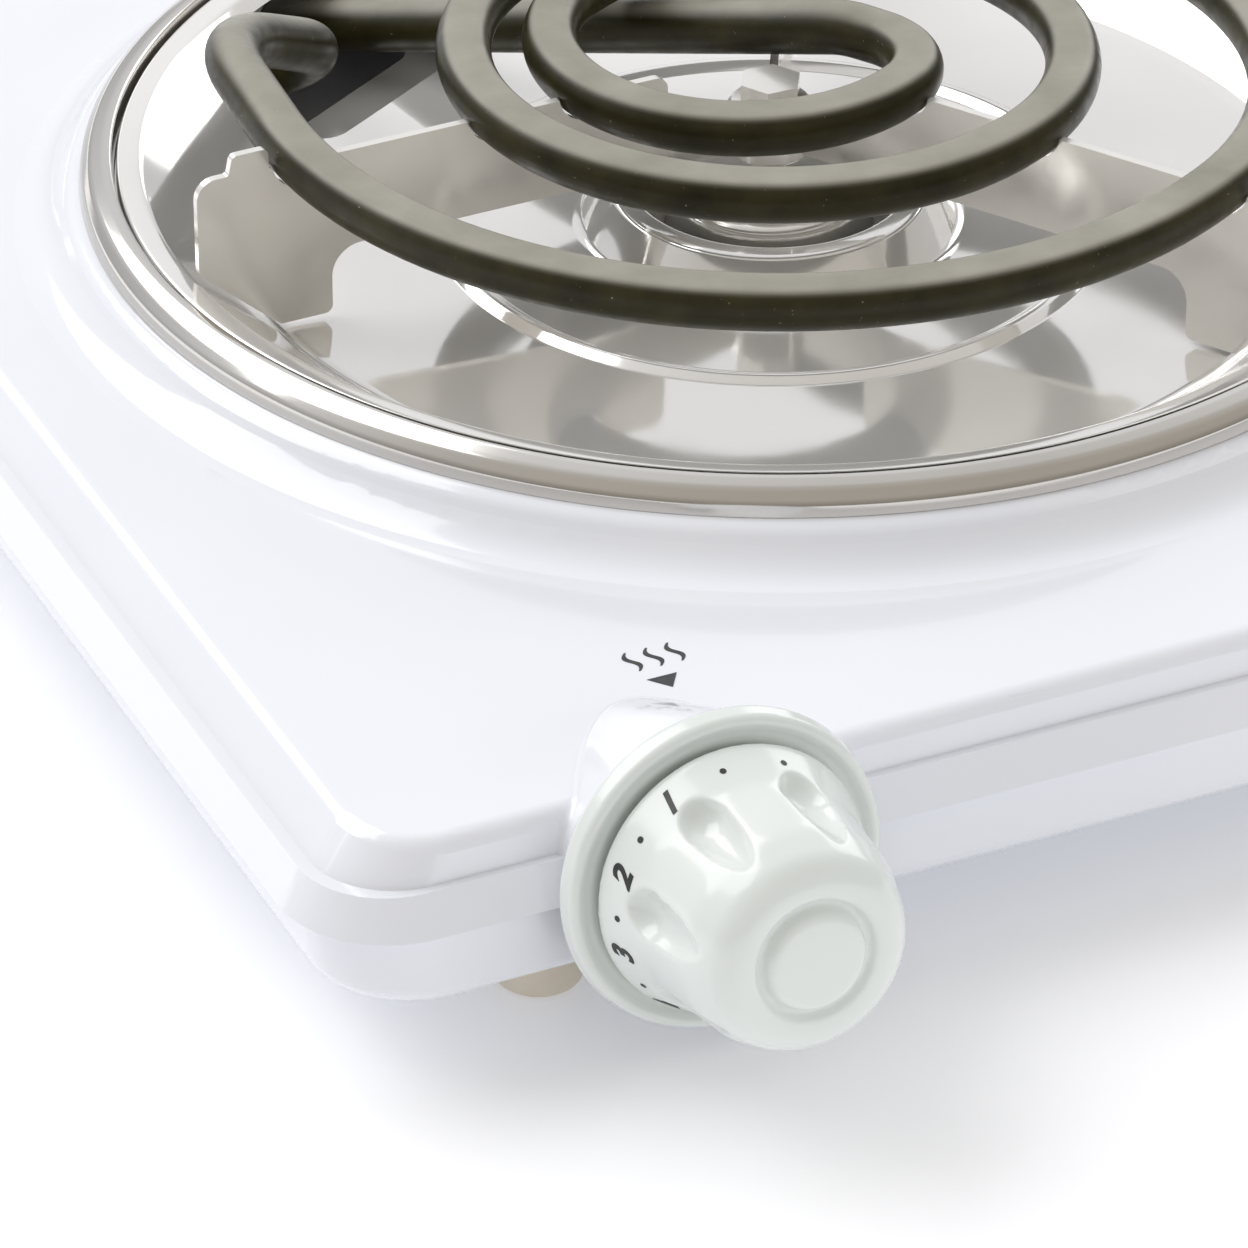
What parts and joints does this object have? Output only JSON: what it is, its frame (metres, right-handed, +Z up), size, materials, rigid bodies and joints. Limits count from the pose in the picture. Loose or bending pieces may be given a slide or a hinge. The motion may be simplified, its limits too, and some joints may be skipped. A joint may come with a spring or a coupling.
{
  "type": "hot plate burner",
  "caption": "Countertop electric hot plate: white enamelled shell, bright drip pan, flat-topped spiral heating coil on a three-armed support, and a tilted front control knob.",
  "frame": {"origin": "middle of the overall box in plan, on the surface that the feet stand on", "axes": "+X to the right, +Y to the back, +Z up; the knob is at the front left, towards -Y"},
  "size_m": [0.2532, 0.295, 0.062],
  "materials": {
    "white_enamel": "gloss",
    "chrome": "polished",
    "bright_steel": "bright",
    "coil_sheath": "satin oxide",
    "white_plastic": "gloss",
    "cream_rubber": "matte",
    "ceramic": "matte glaze",
    "phenolic": "moulded",
    "zinc_steel": "zinc plated",
    "black_plastic": "moulded",
    "nylon": "moulded",
    "brass": "satin",
    "bimetal": "satin",
    "wire_black": "braided sleeve",
    "wire_red": "braided sleeve",
    "wire_white": "braided sleeve",
    "wire_green": "braided sleeve"
  },
  "bodies": {
    "chassis": {"bimetal_strip": "bimetal", "block_bracket": "zinc_steel", "block_screws": "zinc_steel", "bottom_pan": "white_enamel", "bushing_nut": "zinc_steel", "centre_bolt": "bright_steel", "connectors": "nylon", "contact_blades": "brass", "control_bushing": "zinc_steel", "control_cover": "phenolic", "control_housing": "phenolic", "control_tabs": "brass", "cord_gland": "black_plastic", "dial_bezel": "white_plastic", "drip_pan": "chrome", "element_pins": "brass", "end_seals": "ceramic", "foot_front_left": "cream_rubber", "foot_front_right": "cream_rubber", "foot_rear_left": "cream_rubber", "foot_rear_right": "cream_rubber", "foot_screws": "zinc_steel", "ground_lug": "brass", "ground_screw": "zinc_steel", "heat_shield": "bright_steel", "heating_coil": "coil_sheath", "lead_ground": "wire_green", "lead_line": "wire_black", "lead_neutral": "wire_white", "lead_switched": "wire_red", "lever_pin": "zinc_steel", "pan_nut": "zinc_steel", "shield_nut": "zinc_steel", "standoffs": "zinc_steel", "supply_block": "ceramic", "support_arm_front": "bright_steel", "support_arm_left": "bright_steel", "support_arm_rear": "bright_steel", "support_hub": "bright_steel", "terminal_block": "ceramic", "top_shell": "white_enamel", "trim_ring": "chrome"},
    "knob": {"control_knob": "white_plastic", "knob_clip": "zinc_steel", "control_shaft": "zinc_steel", "control_cam": "nylon"},
    "lever": {"cam_lever": "nylon"}
  },
  "joints": [
    {"name": "knob_turn", "type": "hinge", "parent": "chassis", "child": "knob", "pos_m": [-0.0747, -0.11967, 0.0261], "axis": [0, 0.9945, -0.1045], "range_deg": [0, 240]},
    {"name": "lever_lift", "type": "hinge", "parent": "chassis", "child": "lever", "pos_m": [-0.0651, -0.10956, 0.02946], "axis": [0, 0.9945, -0.1045], "range_deg": [0, 5]}
  ],
  "couplings": [
    {"joint": "lever_lift", "follows": "knob_turn", "ratio": 0.018}
  ]
}
